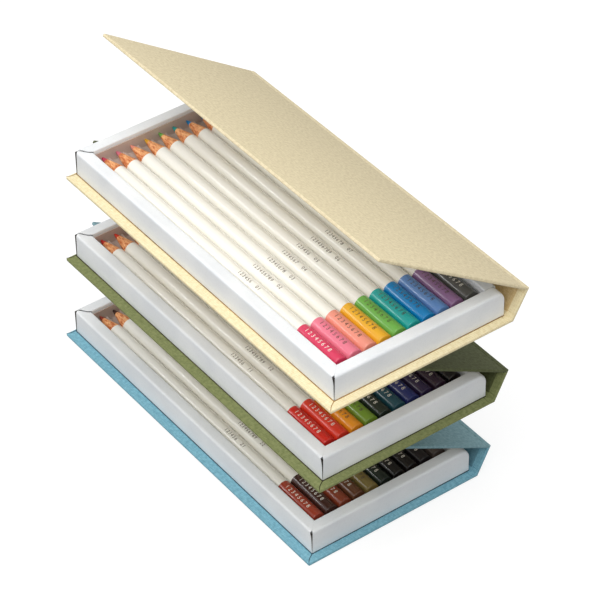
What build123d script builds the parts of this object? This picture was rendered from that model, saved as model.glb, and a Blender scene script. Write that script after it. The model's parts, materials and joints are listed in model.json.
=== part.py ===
from build123d import *
import math
import os

# A pencil collection in three book-style boxes, shown half open and stacked.
# Each box has a base board, a spine board and a lid board wrapped in paper, a card
# tray with hollow folded walls on the base, a grooved insert and ten round pencils.
# X runs across the pencils towards the spine, Y along them towards the tips, Z up.
# The origin is under the middle of the lowest tray, on the face the stack stands on.

# Pencils
pencil_count = 10
pencil_length = 176.5
pencil_diameter = 7.4
cone_length = 14.0
lead_diameter = 2.6
lead_point_diameter = 0.9
dipped_cap_length = 26.5
dipped_coat = 0.05
cap_rounding = 1.3
pencil_sides = 20

# Play between the pencils and what is round them
pencil_gap = 0.2
side_play = 0.6
tip_play = 0.8
tail_play = 2.7
groove_play = 0.3

# Card tray and its insert
card_thickness = 0.6
wall_width = 5.8
tray_height = 12.9
outer_fold_radius = 1.1
inner_fold_radius = 0.5
corner_slit_width = 0.35
insert_floor = 3.5
insert_sheet = 0.8
insert_margin = 0.3
ridge_below_axis = 1.7

# Boards and the paper that wraps them
board_thickness = 1.1
paper_thickness = 0.2
turn_in_width = 12.0
lining_margin = 4.0
cover_edge_radius = 0.15
free_ledge = 4.8
near_ledge = 4.2
far_ledge = 1.0

# Running clearances at the two folds of each cover
fold_clearance = 0.5
fold_paper_clearance = 0.05
closing_clearance = 0.3
prop_clearance = 0.3

# How the set is shown: panel angles above the horizontal, and the step per box
top_lid_angle = 34.5
top_spine_angle = 60.5
lower_lid_angle = 29.0
lower_spine_angle = 63.0
step_across = -6.5
step_along = -17.6

# Sizes that follow
pencil_radius = pencil_diameter / 2
pitch = pencil_diameter + pencil_gap
inner_width = pencil_count * pitch - pencil_gap + 2 * side_play
inner_length = pencil_length + tip_play + tail_play
tray_width = inner_width + 2 * wall_width
tray_length = inner_length + 2 * wall_width
panel_thickness = board_thickness + 2 * paper_thickness
spine_ledge = panel_thickness + fold_clearance
panel_width = free_ledge + tray_width + spine_ledge
panel_length = near_ledge + tray_length + far_ledge
panel_middle = (far_ledge - near_ledge) / 2
fold_x = tray_width / 2 + spine_ledge
fold_relief = paper_thickness + fold_paper_clearance
spine_height = 2 * panel_thickness + tray_height + closing_clearance + paper_thickness
insert_top = panel_thickness + card_thickness + insert_floor
pencil_axis = insert_top + groove_play + pencil_radius
tip_y = inner_length / 2 - tip_play
lower_fold_height = spine_height * math.sin(math.radians(lower_spine_angle))
lower_lid_rise = panel_width * math.sin(math.radians(lower_lid_angle))
level_rise = lower_fold_height + lower_lid_rise + prop_clearance

os.makedirs("parts", exist_ok=True)


def save(piece, node):
    piece.part.label = node
    export_step(piece.part, f"parts/{node}.step")


def panel_plane(frame, x, z, angle):
    """Outer face of a panel that leaves the line (x, z) at an angle above +X."""
    turn = math.radians(angle)
    return Plane(
        origin=frame.from_local_coords((x, panel_middle, z)),
        x_dir=(math.cos(turn), 0, math.sin(turn)),
        z_dir=(-math.sin(turn), 0, math.cos(turn)),
    )


def strip(start, end, length):
    """A rectangle from start to end along the panel, centred on its length."""
    with Locations(((start + end) / 2, 0)):
        Rectangle(end - start, length)


def make_board(plane, start, end, node):
    """The bare board inside a wrapped panel, from start to end across it."""
    with BuildPart() as board:
        with BuildSketch(plane.offset(paper_thickness)):
            strip(start, end, panel_length - 2 * paper_thickness)
        extrude(amount=board_thickness)
    save(board, node)


def make_cover(plane, sheet, board, free_side, node):
    """Paper round a panel: the outer sheet, the wrapped edges and the turn-ins.

    sheet and board are (start, end) across the panel. free_side is -1 or 1 for the
    end whose edge is wrapped too, or 0 where both ends are folds.
    """
    wrap_start = sheet[0] if free_side < 0 else board[0]
    wrap_end = sheet[1] if free_side > 0 else board[1]
    window_start = wrap_start + turn_in_width if free_side < 0 else wrap_start
    window_end = wrap_end - turn_in_width if free_side > 0 else wrap_end
    with BuildPart() as cover:
        with BuildSketch(plane):
            strip(sheet[0], sheet[1], panel_length)
        extrude(amount=paper_thickness)
        with BuildSketch(plane):
            strip(wrap_start, wrap_end, panel_length)
        extrude(amount=panel_thickness)
        if free_side:
            upright = cover.edges().filter_by(Axis(plane.origin, plane.z_dir))
            along = upright.group_by(Axis(plane.origin, plane.x_dir))
            fillet(along[-1 if free_side > 0 else 0], cover_edge_radius)
        with BuildSketch(plane.offset(paper_thickness)):
            strip(board[0], board[1], panel_length - 2 * paper_thickness)
        extrude(amount=board_thickness, mode=Mode.SUBTRACT)
        with BuildSketch(plane.offset(paper_thickness + board_thickness)):
            strip(window_start, window_end, panel_length - 2 * turn_in_width)
        extrude(amount=paper_thickness, mode=Mode.SUBTRACT)
    save(cover, node)


def make_lining(plane, node):
    """The sheet pasted inside the lid, over the turn-ins of its cover."""
    with BuildPart() as lining:
        with BuildSketch(plane.offset(panel_thickness)):
            strip(
                spine_ledge + lining_margin,
                panel_width - lining_margin,
                panel_length - 2 * lining_margin,
            )
        extrude(amount=paper_thickness)
    save(lining, node)


def make_tray(frame, node):
    """Card tray: four hollow folded walls round a floor, slit at each corner."""
    with BuildPart() as tray:
        with BuildSketch(frame.offset(panel_thickness)):
            Rectangle(tray_width, tray_length)
        extrude(amount=tray_height)
        fillet(tray.faces().sort_by(Axis.Z)[-1].edges(), outer_fold_radius)
        with BuildSketch(frame.offset(panel_thickness + card_thickness)):
            Rectangle(inner_width, inner_length)
        extrude(amount=tray_height - card_thickness, mode=Mode.SUBTRACT)
        rim = tray.faces().sort_by(Axis.Z)[-1]
        fillet(rim.inner_wires().edges(), inner_fold_radius)
        with BuildSketch(frame.offset(panel_thickness)):
            Rectangle(tray_width - 2 * card_thickness, tray_length - 2 * card_thickness)
            Rectangle(
                inner_width + 2 * card_thickness,
                inner_length + 2 * card_thickness,
                mode=Mode.SUBTRACT,
            )
        extrude(amount=tray_height - card_thickness, mode=Mode.SUBTRACT)
        slit_reach = (wall_width - card_thickness) * math.sqrt(2)
        slit_centre = slit_reach / 2
        with BuildSketch(frame.offset(panel_thickness)):
            for side in (-1, 1):
                for end in (-1, 1):
                    turn = math.degrees(math.atan2(end, side))
                    corner = (side * tray_width / 2, end * tray_length / 2)
                    with Locations(Location((*corner, 0), (0, 0, turn))):
                        with Locations((-slit_centre, 0)):
                            Rectangle(slit_reach, corner_slit_width)
        extrude(amount=tray_height, mode=Mode.SUBTRACT)
    save(tray, node)


def make_insert(frame, node):
    """Grooved insert: a scalloped sheet on two feet, drawn out along the pencils."""
    width = inner_width - 2 * insert_margin
    length = inner_length - 2 * insert_margin
    floor = panel_thickness + card_thickness
    ridge_top = pencil_axis - ridge_below_axis
    end_plane = Plane(
        origin=frame.from_local_coords((0, length / 2, 0)),
        x_dir=(1, 0, 0),
        z_dir=(0, -1, 0),
    )
    with BuildPart() as insert:
        with BuildSketch(end_plane):
            with Locations((0, (floor + ridge_top) / 2)):
                Rectangle(width, ridge_top - floor)
            with Locations((0, pencil_axis)):
                with GridLocations(pitch, 1, pencil_count, 1):
                    Circle(pencil_radius + groove_play, mode=Mode.SUBTRACT)
            hollow_height = insert_floor - insert_sheet
            with Locations((0, floor + hollow_height / 2)):
                Rectangle(width - 2 * insert_sheet, hollow_height, mode=Mode.SUBTRACT)
        extrude(amount=length)
    save(insert, node)


def make_pencil(frame, index, node):
    """Round pencil in many flats: dipped cap at the near end, wood cone and lead."""
    x = (index - (pencil_count - 1) / 2) * pitch
    tail = tip_y - pencil_length
    cap_end = tail + dipped_cap_length
    cone_start = tip_y - cone_length
    lead_radius = lead_diameter / 2
    point_radius = lead_point_diameter / 2
    cone_slope = (pencil_radius - point_radius) / cone_length
    lead_start = tip_y - (lead_radius - point_radius) / cone_slope
    capped_radius = pencil_radius + dipped_coat
    cap_rings = (
        (tail, capped_radius - cap_rounding),
        (tail + cap_rounding, capped_radius),
        (cap_end, capped_radius),
    )
    bare_rings = (
        (cap_end, pencil_radius),
        (cone_start, pencil_radius),
        (lead_start, lead_radius),
        (tip_y, point_radius),
    )
    with BuildPart() as pencil:
        for rings in (cap_rings, bare_rings):
            for y, radius in rings:
                centre = frame.from_local_coords((x, y, pencil_axis))
                with BuildSketch(Plane(origin=centre, x_dir=(1, 0, 0), z_dir=(0, 1, 0))):
                    RegularPolygon(radius, pencil_sides)
            loft(ruled=True)
    save(pencil, node)


def make_box(name, level, lid_angle, spine_angle):
    """One whole box of the set, on its level of the stack."""
    frame = Plane(origin=(level * step_across, level * step_along, level * level_rise))
    spine_turn = math.radians(spine_angle)
    upper_fold_x = fold_x + spine_height * math.cos(spine_turn)
    upper_fold_z = spine_height * math.sin(spine_turn)
    base = panel_plane(frame, fold_x - panel_width, 0, 0)
    spine = panel_plane(frame, fold_x, 0, spine_angle)
    lid = panel_plane(frame, upper_fold_x, upper_fold_z, 180 - lid_angle)

    base_board = (paper_thickness, panel_width - fold_relief)
    make_board(base, *base_board, f"{name}_base_board")
    base_sheet = (0, panel_width - fold_relief)
    make_cover(base, base_sheet, base_board, -1, f"{name}_base_cover")

    spine_board = (spine_ledge, spine_height - spine_ledge)
    make_board(spine, *spine_board, f"{name}_spine_board")
    spine_sheet = (fold_paper_clearance, spine_height - fold_paper_clearance)
    make_cover(spine, spine_sheet, spine_board, 0, f"{name}_spine_cover")

    lid_board = (fold_relief, panel_width - paper_thickness)
    make_board(lid, *lid_board, f"{name}_lid_board")
    lid_sheet = (fold_relief, panel_width)
    make_cover(lid, lid_sheet, lid_board, 1, f"{name}_lid_cover")
    make_lining(lid, f"{name}_lid_lining")

    make_tray(frame, f"{name}_tray")
    make_insert(frame, f"{name}_insert")
    for index in range(pencil_count):
        make_pencil(frame, index, f"{name}_pencil_{index + 1:02d}")


make_box("bottom", 0, lower_lid_angle, lower_spine_angle)
make_box("middle", 1, lower_lid_angle, lower_spine_angle)
make_box("top", 2, top_lid_angle, top_spine_angle)
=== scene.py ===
import bpy
import bmesh
import json
import math
from mathutils import Matrix, Vector


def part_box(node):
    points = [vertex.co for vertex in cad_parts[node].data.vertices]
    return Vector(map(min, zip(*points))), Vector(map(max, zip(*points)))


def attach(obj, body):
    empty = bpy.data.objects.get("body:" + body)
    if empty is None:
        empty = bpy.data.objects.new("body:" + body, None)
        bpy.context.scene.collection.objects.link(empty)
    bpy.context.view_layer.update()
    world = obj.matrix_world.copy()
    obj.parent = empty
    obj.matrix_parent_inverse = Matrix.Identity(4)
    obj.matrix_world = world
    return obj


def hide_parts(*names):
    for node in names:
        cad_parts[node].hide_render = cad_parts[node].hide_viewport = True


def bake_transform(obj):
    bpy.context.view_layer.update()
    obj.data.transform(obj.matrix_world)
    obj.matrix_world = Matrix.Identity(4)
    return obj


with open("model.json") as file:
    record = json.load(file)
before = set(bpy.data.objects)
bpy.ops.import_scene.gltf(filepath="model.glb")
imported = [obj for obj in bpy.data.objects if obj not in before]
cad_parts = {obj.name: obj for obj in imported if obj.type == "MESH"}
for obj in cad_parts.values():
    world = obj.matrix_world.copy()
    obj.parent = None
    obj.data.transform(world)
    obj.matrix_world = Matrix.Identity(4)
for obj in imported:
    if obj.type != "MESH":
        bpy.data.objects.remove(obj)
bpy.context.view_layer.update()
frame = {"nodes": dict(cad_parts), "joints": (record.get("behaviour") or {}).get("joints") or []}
nodes = frame["nodes"]
jointPlace = {j["name"]: j.get("pos_m") for j in frame["joints"]}
boxNames = ("bottom", "middle", "top")
pencilCount = sum(1 for name in nodes if name.startswith("top_pencil_"))
mm = 0.001


def addPiece(name, bm, materials, body=None, smooth=True):
    # a finished bmesh becomes an object at the origin, riding on its body
    mesh = bpy.data.meshes.new(name)
    bm.to_mesh(mesh)
    bm.free()
    piece = bpy.data.objects.new(name, mesh)
    bpy.context.scene.collection.objects.link(piece)
    for material in materials:
        mesh.materials.append(material)
    if smooth:
        mesh.shade_smooth()
        mesh.set_sharp_from_angle(angle=math.radians(32))
    if body:
        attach(piece, body)
    return piece


def closeUp(bm, distance=0.002 * mm):
    bmesh.ops.remove_doubles(bm, verts=bm.verts, dist=distance)
    bmesh.ops.dissolve_degenerate(bm, edges=bm.edges, dist=distance)
    bmesh.ops.recalc_face_normals(bm, faces=bm.faces)


def slab(bm, low, high):
    # a rectangular block between two corners, ready to be cut and bevelled
    made = bmesh.ops.create_cube(bm, size=1.0)["verts"]
    size = [b - a for a, b in zip(low, high)]
    middle = [(a + b) / 2 for a, b in zip(low, high)]
    bmesh.ops.scale(bm, vec=size, verts=made)
    bmesh.ops.translate(bm, vec=middle, verts=made)


def cutAcross(bm, place, normal, clearOuter=False):
    # adds a line of edges where a plane crosses, and can drop what lies beyond it
    geometry = bm.verts[:] + bm.edges[:] + bm.faces[:]
    bmesh.ops.bisect_plane(
        bm, geom=geometry, dist=1e-7, plane_co=place, plane_no=normal, clear_outer=clearOuter
    )


def newGroup(name, inputs, outputs):
    group = bpy.data.node_groups.new(name, "ShaderNodeTree")
    for label, kind, value in inputs:
        socket = group.interface.new_socket(label, in_out="INPUT", socket_type=kind)
        if value is not None:
            socket.default_value = value
    for label, kind in outputs:
        group.interface.new_socket(label, in_out="OUTPUT", socket_type=kind)
    return group, group.nodes.new("NodeGroupInput"), group.nodes.new("NodeGroupOutput")


def mathNode(tree, operation, a, b=None, clamp=False):
    node = tree.nodes.new("ShaderNodeMath")
    node.operation = operation
    node.use_clamp = clamp
    for socket, value in ((node.inputs[0], a), (node.inputs[1], b)):
        if value is None:
            continue
        if isinstance(value, (int, float)):
            socket.default_value = value
        else:
            tree.links.new(value, socket)
    return node.outputs[0]


def noiseNode(tree, vector, scale, detail=3.0, roughness=0.55):
    node = tree.nodes.new("ShaderNodeTexNoise")
    node.inputs["Detail"].default_value = detail
    node.inputs["Roughness"].default_value = roughness
    if isinstance(scale, (int, float)):
        node.inputs["Scale"].default_value = scale
    else:
        tree.links.new(scale, node.inputs["Scale"])
    tree.links.new(vector, node.inputs["Vector"])
    return node.outputs["Fac"]


def bandNode(tree, vector, direction, scale, distortion):
    node = tree.nodes.new("ShaderNodeTexWave")
    node.wave_type = "BANDS"
    node.bands_direction = direction
    node.inputs["Distortion"].default_value = distortion
    node.inputs["Detail"].default_value = 2.0
    node.inputs["Detail Scale"].default_value = 1.5
    tree.links.new(scale, node.inputs["Scale"])
    tree.links.new(vector, node.inputs["Vector"])
    return node.outputs["Fac"]


def makeWeaveGroup():
    # fine crossed threads of an embossed cover paper, with slow mottling over them
    group, start, end = newGroup(
        "coverWeave",
        [
            ("Vector", "NodeSocketVector", None),
            ("Threads", "NodeSocketFloat", 420.0),
            ("Mottle", "NodeSocketFloat", 650.0),
        ],
        [("Thread", "NodeSocketFloat"), ("Mottle", "NodeSocketFloat"), ("Height", "NodeSocketFloat")],
    )
    vector = start.outputs["Vector"]
    waver = 2.6
    along = bandNode(group, vector, "X", start.outputs["Threads"], waver)
    across = bandNode(group, vector, "Y", start.outputs["Threads"], waver)
    thread = mathNode(group, "MULTIPLY", mathNode(group, "ADD", along, across), 0.5)
    mottle = noiseNode(group, vector, start.outputs["Mottle"], 5.0, 0.62)
    height = mathNode(group, "ADD", mathNode(group, "MULTIPLY", thread, 0.7), mottle)
    group.links.new(thread, end.inputs["Thread"])
    group.links.new(mottle, end.inputs["Mottle"])
    group.links.new(height, end.inputs["Height"])
    return group


def makeFibreGroup():
    # short soft fibres and specks of plain card
    group, start, end = newGroup(
        "cardFibre",
        [("Vector", "NodeSocketVector", None), ("Scale", "NodeSocketFloat", 900.0)],
        [("Fibre", "NodeSocketFloat"), ("Cloud", "NodeSocketFloat"), ("Height", "NodeSocketFloat")],
    )
    vector = start.outputs["Vector"]
    scale = start.outputs["Scale"]
    fibre = noiseNode(group, vector, scale, 6.0, 0.7)
    cloud = noiseNode(group, vector, mathNode(group, "MULTIPLY", scale, 0.05), 2.0, 0.5)
    height = mathNode(group, "ADD", mathNode(group, "MULTIPLY", cloud, 0.4), fibre)
    group.links.new(fibre, end.inputs["Fibre"])
    group.links.new(cloud, end.inputs["Cloud"])
    group.links.new(height, end.inputs["Height"])
    return group


def makeGrainGroup():
    # straight wood grain along Y with darker pores, which are the highest spots of a finer noise
    group, start, end = newGroup(
        "cedarGrain",
        [("Vector", "NodeSocketVector", None), ("Scale", "NodeSocketFloat", 900.0)],
        [("Grain", "NodeSocketFloat"), ("Pores", "NodeSocketFloat"), ("Height", "NodeSocketFloat")],
    )
    stretch = group.nodes.new("ShaderNodeMapping")
    alongGrain, poreFineness, poreLevel = 0.16, 2.4, 0.645
    stretch.inputs["Scale"].default_value = (1.0, alongGrain, 1.0)
    group.links.new(start.outputs["Vector"], stretch.inputs["Vector"])
    vector = stretch.outputs["Vector"]
    grain = noiseNode(group, vector, start.outputs["Scale"], 4.0, 0.6)
    finer = mathNode(group, "MULTIPLY", start.outputs["Scale"], poreFineness)
    pores = noiseNode(group, vector, finer, 2.0, 0.5)
    spots = mathNode(group, "GREATER_THAN", pores, poreLevel)
    height = mathNode(group, "SUBTRACT", grain, mathNode(group, "MULTIPLY", spots, 0.5))
    group.links.new(grain, end.inputs["Grain"])
    group.links.new(spots, end.inputs["Pores"])
    group.links.new(height, end.inputs["Height"])
    return group


weaveGroup = makeWeaveGroup()
fibreGroup = makeFibreGroup()
grainGroup = makeGrainGroup()


def linear(colour):
    # 0..255 display values to linear light
    part = [c / 255 for c in colour]
    return tuple(c / 12.92 if c <= 0.04045 else ((c + 0.055) / 1.055) ** 2.4 for c in part) + (1.0,)


def startMaterial(name, coordinates="Object"):
    material = bpy.data.materials.new(name)
    material.use_nodes = True
    tree = material.node_tree
    shader = tree.nodes["Principled BSDF"]
    source = tree.nodes.new("ShaderNodeTexCoord").outputs[coordinates]
    return material, tree, shader, source


def placeGroup(tree, group, source, **values):
    node = tree.nodes.new("ShaderNodeGroup")
    node.node_tree = group
    tree.links.new(source, node.inputs["Vector"])
    for label, value in values.items():
        node.inputs[label].default_value = value
    return node


def blendColour(tree, factor, first, second, span=(0.3, 0.7)):
    ramp = tree.nodes.new("ShaderNodeValToRGB")
    ramp.color_ramp.elements[0].position = span[0]
    ramp.color_ramp.elements[1].position = span[1]
    ramp.color_ramp.elements[0].color = first
    ramp.color_ramp.elements[1].color = second
    tree.links.new(factor, ramp.inputs["Fac"])
    return ramp.outputs["Color"]


def multiplyColour(tree, factor, first, second):
    mix = tree.nodes.new("ShaderNodeMix")
    mix.data_type = "RGBA"
    mix.blend_type = "MULTIPLY"
    mix.inputs["Factor"].default_value = factor
    tree.links.new(first, mix.inputs["A"])
    tree.links.new(second, mix.inputs["B"])
    return mix.outputs["Result"]


def addBump(tree, shader, height, distance, strength=0.5):
    bump = tree.nodes.new("ShaderNodeBump")
    bump.inputs["Strength"].default_value = strength
    bump.inputs["Distance"].default_value = distance
    tree.links.new(height, bump.inputs["Height"])
    tree.links.new(bump.outputs["Normal"], shader.inputs["Normal"])


def coverPaper(name, light, dark, threads=310.0):
    # mottled paper with its threads a little darker
    material, tree, shader, source = startMaterial(name, "UV")
    weave = placeGroup(tree, weaveGroup, source, Threads=threads)
    mottled = blendColour(tree, weave.outputs["Mottle"], linear(dark), linear(light), (0.34, 0.62))
    threadShade = (0.91, 0.89, 0.85, 1)
    lines = blendColour(tree, weave.outputs["Thread"], threadShade, (1, 1, 1, 1), (0.15, 0.7))
    tree.links.new(multiplyColour(tree, 0.8, mottled, lines), shader.inputs["Base Color"])
    shader.inputs["Roughness"].default_value = 0.78
    shader.inputs["Specular IOR Level"].default_value = 0.3
    addBump(tree, shader, weave.outputs["Height"], 0.06 * mm, 0.6)
    return material


def plainCard(name, light, dark, roughness=0.7, scale=900.0):
    material, tree, shader, source = startMaterial(name)
    fibre = placeGroup(tree, fibreGroup, source, Scale=scale)
    clouded = blendColour(tree, fibre.outputs["Cloud"], linear(dark), linear(light), (0.35, 0.65))
    speckShade = (0.93, 0.93, 0.93, 1)
    specks = blendColour(tree, fibre.outputs["Fibre"], speckShade, (1, 1, 1, 1), (0.3, 0.5))
    tree.links.new(multiplyColour(tree, 0.7, clouded, specks), shader.inputs["Base Color"])
    shader.inputs["Roughness"].default_value = roughness
    shader.inputs["Specular IOR Level"].default_value = 0.35
    addBump(tree, shader, fibre.outputs["Height"], 0.03 * mm, 0.4)
    return material


def lacquer(name, light, dark, roughness=0.22, coat=0.4):
    material, tree, shader, source = startMaterial(name)
    fibre = placeGroup(tree, fibreGroup, source, Scale=350.0)
    tone = blendColour(tree, fibre.outputs["Cloud"], linear(dark), linear(light), (0.3, 0.7))
    tree.links.new(tone, shader.inputs["Base Color"])
    shader.inputs["Roughness"].default_value = roughness
    shader.inputs["Coat Weight"].default_value = coat
    shader.inputs["Coat Roughness"].default_value = 0.12
    addBump(tree, shader, fibre.outputs["Fibre"], 0.02 * mm, 0.12)
    return material


def cedarWood(name):
    material, tree, shader, source = startMaterial(name)
    grain = placeGroup(tree, grainGroup, source, Scale=1100.0)
    darkGrain, paleGrain, poreShade = (204, 108, 54), (254, 192, 132), (0.50, 0.36, 0.28, 1)
    wood = blendColour(tree, grain.outputs["Grain"], linear(darkGrain), linear(paleGrain), (0.38, 0.62))
    pores = blendColour(tree, grain.outputs["Pores"], (1, 1, 1, 1), poreShade, (0.0, 1.0))
    tree.links.new(multiplyColour(tree, 0.8, wood, pores), shader.inputs["Base Color"])
    shader.inputs["Roughness"].default_value = 0.75
    addBump(tree, shader, grain.outputs["Height"], 0.08 * mm, 0.6)
    return material


def colourLead(name, colour):
    material, tree, shader, source = startMaterial(name)
    fibre = placeGroup(tree, fibreGroup, source, Scale=2200.0)
    darker = tuple(c * 0.72 for c in colour)
    tone = blendColour(tree, fibre.outputs["Fibre"], linear(darker), linear(colour), (0.35, 0.6))
    tree.links.new(tone, shader.inputs["Base Color"])
    shader.inputs["Roughness"].default_value = 0.55
    addBump(tree, shader, fibre.outputs["Fibre"], 0.05 * mm, 0.5)
    return material


paperColours = {
    "top": {"light": (243, 231, 193), "dark": (229, 213, 168)},
    "middle": {"light": (139, 146, 97), "dark": (113, 121, 75)},
    "bottom": {"light": (136, 190, 208), "dark": (109, 164, 184)},
}
# the lid's copies of the cover paper, set darker than the cover to paint the shade on the tilted lid; the
# middle box's lid is darkest, painting the shadow of the box above
lidShadedColours = {
    "top": {"light": (240, 227, 192), "dark": (220, 205, 168)},
    "middle": {"light": (97, 103, 70), "dark": (75, 81, 50)},
    "bottom": {"light": (140, 176, 184), "dark": (114, 150, 160)},
}
# darker copies of the cover paper for the strip inside the spine, painting the shade there
spineShadeColours = {
    "top": {"light": (222, 198, 150), "dark": (202, 174, 122)},
    "middle": {"light": (92, 98, 60), "dark": (70, 76, 43)},
    "bottom": {"light": (112, 158, 174), "dark": (90, 134, 152)},
}
# dark tones of each cover paper for strips that paint shadow: in the corner seams and round the tray's foot
seamShadowColours = {"top": (178, 140, 86), "middle": (62, 58, 34), "bottom": (60, 88, 104)}
capColours = {
    "top": [
        (225, 62, 100), (242, 128, 150), (252, 158, 136), (254, 190, 44), (120, 192, 82),
        (30, 178, 172), (8, 142, 212), (104, 150, 212), (152, 112, 156), (92, 92, 88),
    ],
    "middle": [
        (222, 40, 30), (232, 58, 36), (252, 160, 32), (126, 164, 50), (34, 48, 38),
        (34, 84, 98), (44, 54, 120), (52, 38, 76), (56, 36, 56), (26, 24, 24),
    ],
    "bottom": [
        (172, 66, 44), (72, 40, 32), (148, 66, 40), (110, 66, 40), (140, 122, 66),
        (26, 40, 32), (22, 20, 20), (28, 22, 22), (36, 30, 34), (96, 84, 78),
    ],
}

coverPapers = {name: coverPaper(f"{name}_cover_paper", **paperColours[name]) for name in boxNames}
# the lid papers carry the painted shade of the lid
lidShadedPapers = {
    name: coverPaper(f"{name}_lid_shaded_paper", **lidShadedColours[name], threads=420.0) for name in boxNames
}
spineShadePapers = {
    name: coverPaper(f"{name}_spine_shade_paper", **spineShadeColours[name], threads=330.0) for name in boxNames
}
whiteCard = plainCard("white_card", (242, 244, 245), (233, 236, 239))
# the insert's own grey, warmed to paint the tan shade between the barrels and laid over the inner end walls
# to paint their shade
insertSheetAndShade = plainCard("insert_sheet_and_shade", (209, 193, 183), (198, 182, 172), 0.5, 1500.0)
liningPaper = plainCard("lining_paper", (238, 232, 214), (234, 227, 209), 0.75, 1400.0)
# a dark card that paints the deep shade seen through the tray's corner slits
slitShadeCard = plainCard("slit_shade_card", (66, 60, 56), (54, 50, 47), 0.9)
barrelLacquer = lacquer("barrel_lacquer", (253, 251, 243), (250, 246, 235))
cedar = cedarWood("cedar_cone")
darkFoil = lacquer("dark_foil", (92, 70, 46), (66, 50, 36), 0.35, 0.0)
paleFoil = lacquer("pale_foil", (250, 244, 232), (232, 226, 214), 0.3, 0.0)
# the painted shadow material for the corner seam strips and the strip round the tray's foot
seamShadowMaterials = {
    name: plainCard(f"{name}_seam_painted_shadow", colour, tuple(c * 0.8 for c in colour), 0.9)
    for name, colour in seamShadowColours.items()
}
print("materials ready")


def panelMatrix(corner, angle, middleY):
    # X runs along the panel, Y along its fold, Z from its outer face inwards
    return Matrix.Translation((corner[0], middleY, corner[2])) @ Matrix.Rotation(-angle, 4, "Y")


def readBox(name):
    # the sizes that the looks share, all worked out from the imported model
    trayLow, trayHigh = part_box(f"{name}_tray")
    baseLow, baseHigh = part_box(f"{name}_base_cover")
    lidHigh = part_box(f"{name}_lid_cover")[1]
    fold = Vector(jointPlace[f"{name}_spine_hinge"])
    crest = Vector(jointPlace[f"{name}_lid_hinge"])
    width = fold.x - baseLow.x
    spineAngle = math.atan2(crest.z - fold.z, crest.x - fold.x)
    lidAngle = math.pi - math.asin((lidHigh.z - crest.z) / width)
    middleY = (baseLow.y + baseHigh.y) / 2
    return {
        "trayLow": trayLow,
        "trayHigh": trayHigh,
        "width": width,
        "length": baseHigh.y - baseLow.y,
        "thickness": baseHigh.z - baseLow.z,
        "spineHeight": math.hypot(crest.z - fold.z, crest.x - fold.x),
        "spineAngle": spineAngle,
        "lidAngle": lidAngle,
        # the base lies along -X from its fold, so its frame arrives at the fold
        "base": Matrix.Translation((fold.x, middleY, fold.z)),
        "spine": panelMatrix(fold, spineAngle, middleY),
        "lid": panelMatrix(crest, lidAngle, middleY),
    }


boxes = {name: readBox(name) for name in boxNames}


coverShape = {
    "creaseReach": 3.0 * mm,  # how far a fold's own strip runs on each side
    "edgeRound": 0.42 * mm,
    "liningMargin": 4.2 * mm,
    "liningInset": 0.8 * mm,
    "liningPaper": 0.12 * mm,
    # the seam strips are dark and paint the shadow in each corner's gap
    "seamWidth": 0.40 * mm,
    "seamThickness": 0.03 * mm,
    "seamBend": 0.45 * mm,
    "seamSlices": 8,
    "seamStart": 1.25,  # share of its width where it leaves the tray
    "seamTaper": 0.7,  # share of its width lost by the corner
}


def panelUv(bm):
    # UV in metres over the panel's own plane, turned over its edges
    layer = bm.loops.layers.uv.verify()
    bm.normal_update()
    for face in bm.faces:
        lean = [abs(c) for c in face.normal]
        for loop in face.loops:
            x, y, z = loop.vert.co
            if lean[2] >= max(lean[0], lean[1]):
                loop[layer].uv = (x, y)
            elif lean[1] > lean[0]:
                loop[layer].uv = (x, y + z)
            else:
                loop[layer].uv = (x + z, y)


def roundEdges(bm, chosen, radius, segments=3):
    bmesh.ops.bevel(
        bm, geom=chosen, offset=radius, offset_type="OFFSET", segments=segments,
        profile=0.5, affect="EDGES", material=-1, clamp_overlap=True,
    )


def panelEdges(bm, length, ends):
    # the edges at both ends in Y, and those on the free sides in X
    found = []
    for edge in bm.edges:
        a, b = (v.co for v in edge.verts)
        atEnd = all(abs(abs(c.y) - length / 2) < 1e-6 for c in (a, b))
        atFree = any(all(abs(c.x - x) < 1e-6 for c in (a, b)) for x in ends)
        flat = abs(a.z - b.z) < 1e-6
        if (atEnd and (flat or atFree)) or (atFree and flat):
            found.append(edge)
    return found


def makePanel(name, part, start, end, freeEnds, paper, body):
    # one wrapped board, with the paper rounded over both its ends and its free side
    box = boxes[name]
    bm = bmesh.new()
    slab(bm, (start, -box["length"] / 2, 0), (end, box["length"] / 2, box["thickness"]))
    roundEdges(bm, panelEdges(bm, box["length"], freeEnds), coverShape["edgeRound"])
    panelUv(bm)
    bm.transform(box[part])
    closeUp(bm)
    piece = addPiece(f"{name}_{part}_case", bm, [paper], body)
    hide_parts(f"{name}_{part}_cover", f"{name}_{part}_board")


def makeCrease(name, fold, lower, upper, turn, papers):
    # the bent strip across a fold: a flat slab folded along a mitre that the turn halves
    box = boxes[name]
    reach = coverShape["creaseReach"]
    half = math.tan(turn / 2)
    bm = bmesh.new()
    slab(bm, (-reach, -box["length"] / 2, 0), (reach, box["length"] / 2, box["thickness"]))
    roundEdges(bm, panelEdges(bm, box["length"], ()), coverShape["edgeRound"])
    cutAcross(bm, (0, 0, 0), (1, 0, 0))
    panelUv(bm)
    for face in bm.faces:
        face.material_index = 1 if face.calc_center_median().x > 0 else 0
    for vert in bm.verts:
        place = vert.co.copy()
        if place.x <= 0:
            place.x = min(place.x, -place.z * half)
            vert.co = lower @ place
        else:
            place.x = max(place.x, place.z * half)
            vert.co = upper @ place
    closeUp(bm)
    piece = addPiece(f"{name}_{fold}_crease", bm, papers, None)
    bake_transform(piece)


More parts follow.
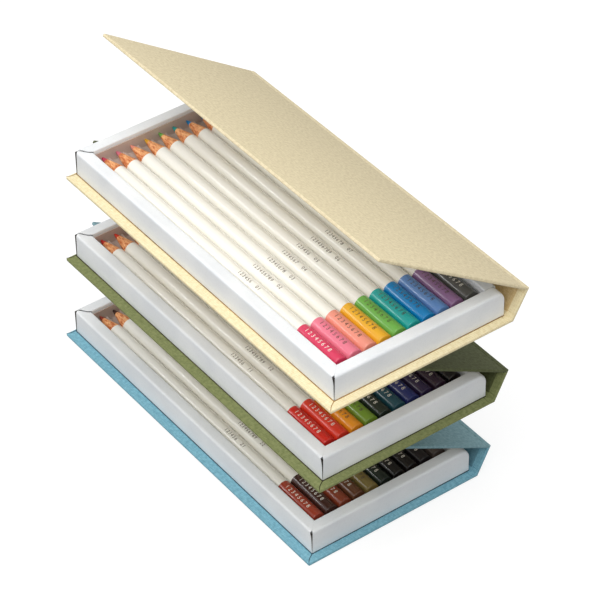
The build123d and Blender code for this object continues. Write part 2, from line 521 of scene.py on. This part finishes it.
def makeShadedSpineLining(name):
    # the strip pasted inside the spine, over the turned-in cover paper; its paper is a darker copy of the
    # cover paper, painting the shade inside the spine
    box = boxes[name]
    shape = coverShape
    start = shape["creaseReach"] - shape["liningInset"]
    side = box["length"] / 2 - shape["liningMargin"]
    foot = box["thickness"] - shape["liningPaper"]
    top = box["thickness"] + shape["liningPaper"]
    bm = bmesh.new()
    slab(bm, (start, -side, foot), (box["spineHeight"] - start, side, top))
    upper = [e for e in bm.edges if all(abs(v.co.z - top) < 1e-6 for v in e.verts)]
    roundEdges(bm, upper, shape["liningPaper"] * 0.8, 2)
    panelUv(bm)
    bm.transform(box["spine"])
    closeUp(bm)
    piece = addPiece(f"{name}_spine_lining_shade", bm, [spineShadePapers[name]], f"{name}_spine")


def makeCornerSeamShadows(name):
    # a dark strip in the gap where the cover paper is folded in at each free corner of the base, out from
    # under the tray, painting the shadow in that gap
    box = boxes[name]
    shape = coverShape
    fold = box["spine"].translation
    outer = fold.x - box["width"]
    whole = bmesh.new()
    for side, trayY in ((-1, box["trayLow"].y), (1, box["trayHigh"].y)):
        corner = Vector((outer, fold.y + side * box["length"] / 2, 0))
        inner = Vector((box["trayLow"].x, trayY, 0))
        along = corner - inner
        bm = bmesh.new()
        low = (0, -shape["seamWidth"] / 2, -shape["seamThickness"])
        slab(bm, low, (along.length, shape["seamWidth"] / 2, shape["seamThickness"]))
        for step in range(1, shape["seamSlices"]):
            cutAcross(bm, (along.length * step / shape["seamSlices"], 0, 0), (1, 0, 0))
        for vert in bm.verts:
            share = vert.co.x / along.length
            width = shape["seamStart"] - share * shape["seamTaper"]
            vert.co.y = vert.co.y * width + side * shape["seamBend"] * math.sin(math.pi * share)
        place = Matrix.Translation((inner.x, inner.y, fold.z + box["thickness"]))
        bm.transform(place @ Matrix.Rotation(math.atan2(along.y, along.x), 4, "Z"))
        mesh = bpy.data.meshes.new("seam")
        bm.to_mesh(mesh)
        bm.free()
        whole.from_mesh(mesh)
        bpy.data.meshes.remove(mesh)
    closeUp(whole)
    piece = addPiece(f"{name}_corner_seam_shadows", whole, [seamShadowMaterials[name]], f"{name}_base")


def makeCovers(name):
    box = boxes[name]
    reach = coverShape["creaseReach"]
    width, height = box["width"], box["spineHeight"]
    spineTop = Matrix.Translation(box["lid"].translation - box["spine"].translation) @ box["spine"]
    makePanel(name, "base", -width, -reach, (-width,), coverPapers[name], f"{name}_base")
    makePanel(name, "spine", reach, height - reach, (), coverPapers[name], f"{name}_spine")
    makePanel(name, "lid", reach, width, (width,), lidShadedPapers[name], f"{name}_lid")
    makeCrease(
        name, "base", box["base"], box["spine"], box["spineAngle"],
        [coverPapers[name], coverPapers[name]],
    )
    makeCrease(
        name, "lid", spineTop, box["lid"], box["lidAngle"] - box["spineAngle"],
        [coverPapers[name], lidShadedPapers[name]],
    )
    makeShadedSpineLining(name)
    makeCornerSeamShadows(name)


trayShape = {
    "card": 0.42 * mm,
    "wall": 5.8 * mm,
    "outerRound": 1.1 * mm,
    "innerRound": 0.5 * mm,
    "footRound": 0.55 * mm,
    "footSteps": 3,
    "heightShares": (0.2, 0.35, 0.5, 0.62, 0.74, 0.84),  # lines across the outer face
    "roundSteps": 5,
    "rimSteps": 6,
    "cornerRadius": 3.2 * mm,  # the end wall's rounded upper corner beside the spine
    "spineDrop": 0.45 * mm,  # how far the spine-side rim dips below it
    "spineDropRun": 14.0 * mm,
    "mitreRun": 5.0 * mm,  # how far from a mitre its seam and slit pull the card
    "cornerCuts": (0.15, 0.4, 0.8, 1.4, 2.2, 3.2, 4.5, 6.5, 9, 12, 16),  # mm from a corner
    "lengthSlices": 8,
    "weld": 0.03 * mm,
    "sliver": 0.01 * mm,
    "spineGap": 0.1 * mm,  # play between the spine-side wall and the near end wall
    "hookAt": 0.92,  # share of the height where the slit is widest
    "hookSpread": 0.3,
    "hookSharpness": 1.5,
    "tabInset": 0.3 * mm,
    "tabDepth": 0.9 * mm,
}
# sizes of the dark pieces that paint shade: the flaps in the slits and the strip round the tray's foot
shadowPieceShape = {
    "reach": 2.4 * mm,  # the dark flap inside each slit corner, painting the deep shade seen there
    "inset": 0.16 * mm,
    "thickness": 0.14 * mm,
    "belowRim": 0.8 * mm,
    "footShadowMargin": 0.28 * mm,  # the dark strip round the tray's foot, painting its contact shadow
    "footShadowThickness": 0.04 * mm,
}
# how the card meets at each corner: the seam in the rim and its wave, the slit down the arris
# at its foot and at its top, and the hook that widens it under the rim
cornerShape = {
    "nearLeft": {
        "seam": 0.05 * mm, "wave": 0.0, "foot": 0.20 * mm, "slit": 0.62 * mm, "hook": 0.80 * mm,
    },
    "farLeft": {
        "seam": 1.30 * mm, "wave": 0.95 * mm, "foot": 0.40 * mm, "slit": 1.10 * mm, "hook": 0.1 * mm,
    },
    "farSpine": {
        "seam": 0.10 * mm, "wave": 0.0, "foot": 0.10 * mm, "slit": 0.40 * mm, "hook": 0.2 * mm,
    },
}
# each wall by its turn about Z, with the corners at its +Y and -Y ends before that turn;
# the nearSpine corner has no mitre, because its end wall laps over the wall beside the spine
wallCorners = (
    ("farLeft", "nearLeft"),
    ("nearLeft", "nearSpine"),
    ("nearSpine", "farSpine"),
    ("farSpine", "farLeft"),
)


def wallProfile(bm, height, shape):
    # outer face up, over the soft folds and down the inner face, as a chain of edges in XZ
    outer, inner, wall = shape["outerRound"], shape["innerRound"], shape["wall"]
    steps = shape["roundSteps"]
    foot = shape["footRound"]
    points = []
    for step in range(shape["footSteps"] + 1):
        turn = math.pi / 2 * step / shape["footSteps"]
        points.append((foot * (1 - math.sin(turn)), 0, foot * (1 - math.cos(turn))))
    points += [(0, 0, height * share) for share in shape["heightShares"]]
    for step in range(steps + 1):
        turn = math.pi / 2 * step / steps
        points.append((outer * (1 - math.cos(turn)), 0, height - outer * (1 - math.sin(turn))))
    flat = wall - inner - outer
    rimSteps = shape["rimSteps"]
    points += [(outer + flat * step / rimSteps, 0, height) for step in range(1, rimSteps)]
    for step in range(steps + 1):
        turn = math.pi / 2 * step / steps
        points.append((wall - inner * (1 - math.sin(turn)), 0, height - inner * (1 - math.cos(turn))))
    points.append((wall, 0, shape["card"]))
    verts = [bm.verts.new(p) for p in points]
    return [bm.edges.new(pair) for pair in zip(verts, verts[1:])]


def shapeMitre(bm, side, along, height, corner, leads):
    # opens the slit down the arris and waves the seam across the rim
    shape = trayShape
    reach, run = shape["wall"], shape["mitreRun"]
    for vert in bm.verts:
        x, y, z = vert.co
        away = along / 2 - x - side * y
        if away > run:
            continue
        across = x / reach
        gap = corner["seam"] / 2 - leads * corner["wave"] * math.sin(2 * math.pi * across) * 0.5
        if x < shape["outerRound"]:
            rise = z / height
            fade = 1 - x / shape["outerRound"]
            gap += (corner["foot"] + (corner["slit"] - corner["foot"]) * rise) * fade
            if leads < 0:
                near = max(0.0, 1 - abs(rise - shape["hookAt"]) / shape["hookSpread"])
                gap += corner["hook"] * fade * near ** shape["hookSharpness"]
        vert.co.y -= side * gap * (1 - max(0.0, away) / run) ** 2


def roundEnd(bm, side, along, height):
    # the end wall's upper corner comes down in a quarter round
    radius = trayShape["cornerRadius"]
    for vert in bm.verts:
        gone = along / 2 - side * vert.co.y
        if gone < radius:
            drop = radius - math.sqrt(max(0.0, radius ** 2 - (radius - gone) ** 2))
            vert.co.z *= (height - drop) / height


def dipEnd(bm, side, along, height):
    # the spine-side wall's rim sinks in an S before it meets the end wall
    run, depth = trayShape["spineDropRun"], trayShape["spineDrop"]
    for vert in bm.verts:
        share = 1 - (along / 2 - side * vert.co.y) / run
        if share > 0:
            smooth = share * share * (3 - 2 * share)
            vert.co.z *= (height - depth * smooth) / height


def makeWall(index, across, along, height):
    # one hollow wall lying along Y, cut to its corners, given its thickness and then turned
    shape = trayShape
    bm = bmesh.new()
    edges = wallProfile(bm, height, shape)
    made = bmesh.ops.extrude_edge_only(bm, edges=edges)["geom"]
    far = [g for g in made if isinstance(g, bmesh.types.BMVert)]
    bmesh.ops.translate(bm, vec=(0, along, 0), verts=far)
    bmesh.ops.translate(bm, vec=(0, -along / 2, 0), verts=bm.verts)
    for side, name in zip((1, -1), wallCorners[index]):
        for distance in shape["cornerCuts"]:
            cutAcross(bm, (0, side * (along / 2 - distance * mm), 0), (0, 1, 0))
        if name != "nearSpine":
            cutAcross(bm, (0, side * along / 2, 0), Vector((1, side, 0)).normalized(), True)
            bmesh.ops.remove_doubles(bm, verts=bm.verts, dist=shape["weld"])
            bmesh.ops.dissolve_degenerate(bm, edges=bm.edges, dist=shape["sliver"])
            shapeMitre(bm, side, along, height, cornerShape[name], side)
        elif index == 2:
            end = side * (along / 2 - shape["wall"] - shape["spineGap"])
            cutAcross(bm, (0, end, 0), (0, side, 0), True)
            dipEnd(bm, side, along, height)
        else:
            roundEnd(bm, side, along, height)
    for step in range(1, shape["lengthSlices"]):
        cutAcross(bm, (0, along * (step / shape["lengthSlices"] - 0.5), 0), (0, 1, 0))
    bmesh.ops.recalc_face_normals(bm, faces=bm.faces)
    bm.normal_update()
    if sum(face.normal.z * face.calc_area() for face in bm.faces) < 0:
        bmesh.ops.reverse_faces(bm, faces=bm.faces)
    bmesh.ops.solidify(bm, geom=bm.faces[:], thickness=shape["card"])
    if index == 1:
        # a tucked tab closes the hollow end beside the spine
        slab(
            bm,
            (shape["card"], shape["tabInset"] - along / 2, shape["card"]),
            (shape["wall"] - shape["card"], shape["tabDepth"] - along / 2, height - shape["cornerRadius"]),
        )
    bmesh.ops.translate(bm, vec=(-across / 2, 0, 0), verts=bm.verts)
    turn = Matrix.Rotation(index * math.pi / 2, 3, "Z")
    bmesh.ops.rotate(bm, cent=(0, 0, 0), matrix=turn, verts=bm.verts)
    wall = bpy.data.meshes.new("wall")
    bm.to_mesh(wall)
    bm.free()
    return wall


def makeTray(name):
    low, high = boxes[name]["trayLow"], boxes[name]["trayHigh"]
    size = high - low
    whole = bmesh.new()
    for index in range(4):
        across, along = (size.x, size.y) if index % 2 == 0 else (size.y, size.x)
        wall = makeWall(index, across, along, size.z)
        whole.from_mesh(wall)
        bpy.data.meshes.remove(wall)
    inset = trayShape["wall"] - trayShape["card"]
    slab(
        whole,
        (-size.x / 2 + inset, -size.y / 2 + inset, 0),
        (size.x / 2 - inset, size.y / 2 - inset, trayShape["card"]),
    )
    middle = ((low.x + high.x) / 2, (low.y + high.y) / 2, low.z)
    bmesh.ops.translate(whole, vec=middle, verts=whole.verts)
    bmesh.ops.recalc_face_normals(whole, faces=whole.faces)
    piece = addPiece(f"{name}_tray_card", whole, [whiteCard], f"{name}_base")
    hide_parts(f"{name}_tray")
    makeSlitShadeFlaps(name, low, high)
    makeFootShadowLine(name, low, high)


def makeSlitShadeFlaps(name, low, high):
    # the dark flaps inside the three slit corners, only seen through the slits, where they paint the deep
    # shade in the slits
    reach, inset, thick = shadowPieceShape["reach"], shadowPieceShape["inset"], shadowPieceShape["thickness"]
    foot, top = low.z + trayShape["card"], high.z - shadowPieceShape["belowRim"]
    bm = bmesh.new()
    for x, y, right, back in ((low.x, low.y, 1, 1), (low.x, high.y, 1, -1), (high.x, high.y, -1, -1)):
        for across, along in ((inset + thick, reach), (reach, inset + thick)):
            xs = sorted((x + right * inset, x + right * across))
            ys = sorted((y + back * inset, y + back * along))
            slab(bm, (xs[0], ys[0], foot), (xs[1], ys[1], top))
    piece = addPiece(f"{name}_corner_slit_shades", bm, [slitShadeCard], f"{name}_base")


def makeFootShadowLine(name, low, high):
    # a dark strip round the tray's foot, painting its contact shadow
    margin, thick = shadowPieceShape["footShadowMargin"], shadowPieceShape["footShadowThickness"]
    bm = bmesh.new()
    start = (low.x - margin, low.y - margin, low.z - thick)
    slab(bm, start, (high.x + margin, high.y + margin, low.z + thick))
    upright = [e for e in bm.edges if abs(e.verts[0].co.z - e.verts[1].co.z) > thick]
    roundEdges(bm, upright, margin)
    piece = addPiece(f"{name}_foot_shadow_line", bm, [seamShadowMaterials[name]], f"{name}_base")


insertShape = {
    "sheet": 0.5 * mm,
    "groovePlay": 0.3 * mm,
    "grooveSteps": 10,
    "belowRim": 1.6 * mm,  # how far its turned-up ends stop below the tray's rim
}


def grooveProfile(bm, low, high, centres, axis, reach):
    # one round groove for each pencil with a narrow flat ridge between, as a chain of edges
    rise = axis - high.z
    swing = math.acos(rise / reach)
    points = [(low.x, 0, high.z)]
    for centre in centres:
        for step in range(insertShape["grooveSteps"] + 1):
            turn = swing * (2 * step / insertShape["grooveSteps"] - 1)
            points.append((centre + reach * math.sin(turn), 0, axis - reach * math.cos(turn)))
    points.append((high.x, 0, high.z))
    verts = [bm.verts.new(p) for p in points]
    return [bm.edges.new(pair) for pair in zip(verts, verts[1:])]


def makeInsert(name):
    # the grooved sheet on its sides, with its two ends turned up; its own grey is warmed to paint the tan
    # shade between the barrels, and its turned-up ends lay that grey over the white inner end walls to
    # paint their shade
    low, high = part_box(f"{name}_insert")
    ends = [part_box(f"{name}_pencil_{index + 1:02d}") for index in range(pencilCount)]
    radius = (ends[0][1].x - ends[0][0].x) / 2
    centres = [(a.x + b.x) / 2 for a, b in ends]
    axis = (ends[0][0].z + ends[0][1].z) / 2
    sheet = insertShape["sheet"]
    bm = bmesh.new()
    edges = grooveProfile(bm, low, high, centres, axis, radius + insertShape["groovePlay"])
    made = bmesh.ops.extrude_edge_only(bm, edges=edges)["geom"]
    far = [g for g in made if isinstance(g, bmesh.types.BMVert)]
    bmesh.ops.translate(bm, vec=(0, high.y - low.y, 0), verts=far)
    bmesh.ops.translate(bm, vec=(0, low.y, 0), verts=bm.verts)
    bm.normal_update()
    if sum(face.normal.z * face.calc_area() for face in bm.faces) < 0:
        bmesh.ops.reverse_faces(bm, faces=bm.faces)
    bmesh.ops.solidify(bm, geom=bm.faces[:], thickness=sheet)
    top = boxes[name]["trayHigh"].z - insertShape["belowRim"]
    for y in (low.y, high.y - sheet):
        slab(bm, (low.x, y, low.z), (high.x, y + sheet, top))
    for x in (low.x, high.x - sheet):
        slab(bm, (x, low.y + sheet, low.z), (x + sheet, high.y - sheet, high.z - sheet))
    bmesh.ops.recalc_face_normals(bm, faces=bm.faces)
    piece = addPiece(f"{name}_insert_sheet_and_shade", bm, [insertSheetAndShade], f"{name}_base")
    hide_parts(f"{name}_insert")


pencilShape = {
    "sides": 40,
    "coat": 0.05 * mm,
    "dome": 0.30 * mm,
    "endRound": 0.9 * mm,
    "capLength": 26.5 * mm,
    "capBead": 0.22 * mm,
    "coneLength": 14.0 * mm,
    "lacquerStep": 0.05 * mm,
    "leadRadius": 1.3 * mm,
    "pointRadius": 0.45 * mm,
    "pointRound": 0.55 * mm,
    "turn": 1.3,  # radians from one pencil to the next, so that their grain differs
    "capShade": 0.93,
}


def pencilProfile(radius, length):
    # radius and distance from the tail, with the material of the stretch that follows
    shape = pencilShape
    barrel = radius - shape["coat"]
    coneStart = length - shape["coneLength"]
    slope = (barrel - shape["pointRadius"]) / shape["coneLength"]
    leadStart = length - (shape["leadRadius"] - shape["pointRadius"]) / slope
    points = [(0.0, 0.0, 1), ((radius - shape["endRound"]) * 0.6, shape["dome"] * 0.2, 1)]
    for step in range(6):
        turn = math.pi / 2 * step / 5
        points.append((
            radius - shape["endRound"] * (1 - math.sin(turn)),
            shape["dome"] + (shape["endRound"] - shape["dome"]) * (1 - math.cos(turn)), 1,
        ))
    capEnd = shape["capLength"]
    bead = shape["capBead"]
    points += [
        (radius, capEnd - bead, 1),
        (radius - shape["coat"] * 0.4, capEnd - bead * 0.3, 1),
        (barrel, capEnd, 0),
        (barrel, (capEnd + coneStart) / 2, 0),
        (barrel, coneStart - 0.12 * mm, 0),
        (barrel - shape["lacquerStep"], coneStart, 2),
        (barrel - shape["lacquerStep"] - slope * 4 * mm, coneStart + 4 * mm, 2),
        (shape["leadRadius"], leadStart, 3),
        (shape["pointRadius"] * 1.25, length - shape["pointRound"], 3),
        (shape["pointRadius"] * 0.7, length - 0.12 * mm, 3),
        (0.0, length, 3),
    ]
    return points


def makePencilMesh(radius, length):
    bm = bmesh.new()
    points = pencilProfile(radius, length)
    verts = [bm.verts.new((r, y, 0)) for r, y, _ in points]
    edges = [bm.edges.new(pair) for pair in zip(verts, verts[1:])]
    bmesh.ops.spin(
        bm, geom=verts + edges, cent=(0, 0, 0), axis=(0, 1, 0), angle=2 * math.pi,
        steps=pencilShape["sides"], use_merge=True, use_duplicate=False,
    )
    closeUp(bm, 0.001 * mm)
    for face in bm.faces:
        y = face.calc_center_median().y
        face.material_index = [kind for _, start, kind in points if start <= y][-1]
    return bm


foilShape = {
    "number": {"height": 1.8 * mm, "start": 71.0 * mm, "spacing": 1.25},
    "cap_number": {"height": 2.0 * mm, "start": 23.5 * mm, "spacing": 1.6},
    "sizePerHeight": 1.4,  # font size for a figure's height
    "thickness": 0.012 * mm,
    "weld": 0.0005 * mm,
    "slices": 10,
    "lean": math.radians(-5),  # the marks sit a little to the free side of the top
    "darkFrom": 110,  # caps lighter than this carry dark figures
}


def makeFigures(text, label, radius):
    # plain numbers wrapped round the pencil, reading from the tip towards the cap
    shape = foilShape[label]
    curve = bpy.data.curves.new("figures", "FONT")
    curve.body = text
    curve.size = shape["height"] * foilShape["sizePerHeight"]
    curve.space_character = shape["spacing"]
    curve.extrude = foilShape["thickness"]
    curve.resolution_u = 2
    made = bpy.data.objects.new("figures", curve)
    bpy.context.scene.collection.objects.link(made)
    bpy.context.view_layer.update()
    flat = bpy.data.meshes.new_from_object(made)
    bm = bmesh.new()
    bm.from_mesh(flat)
    bpy.data.objects.remove(made)
    bpy.data.curves.remove(curve)
    bpy.data.meshes.remove(flat)
    for step in range(1, foilShape["slices"]):
        cutAcross(bm, (0, shape["height"] * step / foilShape["slices"], 0), (0, 1, 0))
    for vert in bm.verts:
        along, up, out = vert.co
        turn = (up - shape["height"] / 2) / radius + foilShape["lean"]
        reach = radius + out
        vert.co = (math.sin(turn) * reach, shape["start"] - along, math.cos(turn) * reach)
    closeUp(bm, foilShape["weld"])
    return bm


def makePencils(name):
    low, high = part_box(f"{name}_pencil_01")
    radius = (high.x - low.x) / 2
    master = makePencilMesh(radius, high.y - low.y)
    for index in range(pencilCount):
        node = f"{name}_pencil_{index + 1:02d}"
        low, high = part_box(node)
        centre = ((low.x + high.x) / 2, low.y, (low.z + high.z) / 2)
        colour = capColours[name][index]
        bm = master.copy()
        turn = Matrix.Rotation(index * pencilShape["turn"], 3, "Y")
        bmesh.ops.rotate(bm, cent=(0, 0, 0), matrix=turn, verts=bm.verts)
        bmesh.ops.translate(bm, vec=centre, verts=bm.verts)
        darker = tuple(c * pencilShape["capShade"] for c in colour)
        cap = lacquer(f"{node}_cap", colour, darker, 0.22, 0.4)
        lead = colourLead(f"{node}_lead", colour)
        piece = addPiece(f"{node}_body", bm, [barrelLacquer, cap, cedar, lead], node)
        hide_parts(node)
        # six to nine figures, then the pencil's own number, counted from the top box down
        counting = "123456789"[:6 + index * 3 % 4]
        number = (2 - boxNames.index(name)) * pencilCount + index + 1
        brightness = 0.21 * colour[0] + 0.72 * colour[1] + 0.07 * colour[2]
        capFoil = darkFoil if brightness > foilShape["darkFrom"] else paleFoil
        for label, text, reach, foil in (
            ("number", f"{counting}   {number:02d}", radius - pencilShape["coat"], darkFoil),
            ("cap_number", "12345678", radius, capFoil),
        ):
            bm = makeFigures(text, label, reach)
            bmesh.ops.translate(bm, vec=centre, verts=bm.verts)
            figures = addPiece(f"{node}_{label}", bm, [foil], node)
    master.free()


def finishNode(node, material):
    slots = nodes[node].data.materials
    slots.clear()
    slots.append(material)


for name in boxNames:
    makeCovers(name)
    makeTray(name)
    makePencils(name)
    finishNode(f"{name}_lid_lining", liningPaper)
    makeInsert(name)
    print(f"{name} box made")


stageShape = {"size": 6.0, "colour": (0.30, 0.30, 0.30, 1), "glow": 0.76}


def makeFloor():
    bm = bmesh.new()
    bmesh.ops.create_grid(bm, x_segments=1, y_segments=1, size=stageShape["size"] / 2)
    bmesh.ops.translate(bm, vec=(0, 0, -0.02 * mm), verts=bm.verts)
    material, tree, shader, _ = startMaterial("floor_white")
    shader.inputs["Base Color"].default_value = stageShape["colour"]
    shader.inputs["Roughness"].default_value = 0.9
    shader.inputs["Emission Color"].default_value = (1, 1, 1, 1)
    # the glow is only for what the camera sees, so the floor lights nothing
    path = tree.nodes.new("ShaderNodeLightPath").outputs
    seen = mathNode(tree, "ADD", path["Is Camera Ray"], path["Is Glossy Ray"])
    seen = mathNode(tree, "ADD", seen, path["Is Transmission Ray"], True)
    tree.links.new(mathNode(tree, "MULTIPLY", seen, stageShape["glow"]), shader.inputs["Emission Strength"])
    floor = addPiece("floor", bm, [material], None, False)


lampShape = {
    "world": 0.56,
    "key": {"place": (-0.60, -0.50, 1.64), "power": 24.0, "size": (1.7, 1.7)},
    "strip": {"place": (-0.78, 0.86, 0.80), "power": 2.4, "size": (0.9, 0.06)},  # streaks on the caps
    "aim": (0.0, 0.0, 0.08),
}


def makeLamp(name):
    lampData = lampShape[name]
    light = bpy.data.lights.new(name, "AREA")
    light.shape = "RECTANGLE"
    light.size, light.size_y = lampData["size"]
    light.energy = lampData["power"]
    lamp = bpy.data.objects.new(name, light)
    lamp.location = lampData["place"]
    towards = Vector(lampShape["aim"]) - Vector(lampData["place"])
    lamp.rotation_euler = towards.to_track_quat("-Z", "Y").to_euler()
    lamp.visible_camera = False
    bpy.context.scene.collection.objects.link(lamp)


def makeLights():
    world = bpy.data.worlds.new("studio")
    bpy.context.scene.world = world
    world.use_nodes = True
    background = world.node_tree.nodes["Background"]
    background.inputs["Color"].default_value = (1, 1, 1, 1)
    background.inputs["Strength"].default_value = lampShape["world"]
    makeLamp("key")
    makeLamp("strip")


cameraView = {
    "place": (-0.56995, -0.82478, 0.89569),
    "turn": (50.21414, 0.91617, -36.36627),
    "fieldOfView": 11.96786,
}


def makeCamera():
    data = bpy.data.cameras.new("camera")
    data.sensor_fit = "HORIZONTAL"
    data.angle = math.radians(cameraView["fieldOfView"])
    data.clip_start = 0.05
    camera = bpy.data.objects.new("camera", data)
    camera.location = cameraView["place"]
    camera.rotation_euler = [math.radians(a) for a in cameraView["turn"]]
    bpy.context.scene.collection.objects.link(camera)
    bpy.context.scene.camera = camera


makeFloor()
makeLights()
makeCamera()
bpy.context.scene.view_settings.view_transform = "Standard"
print("stage, light and camera set")
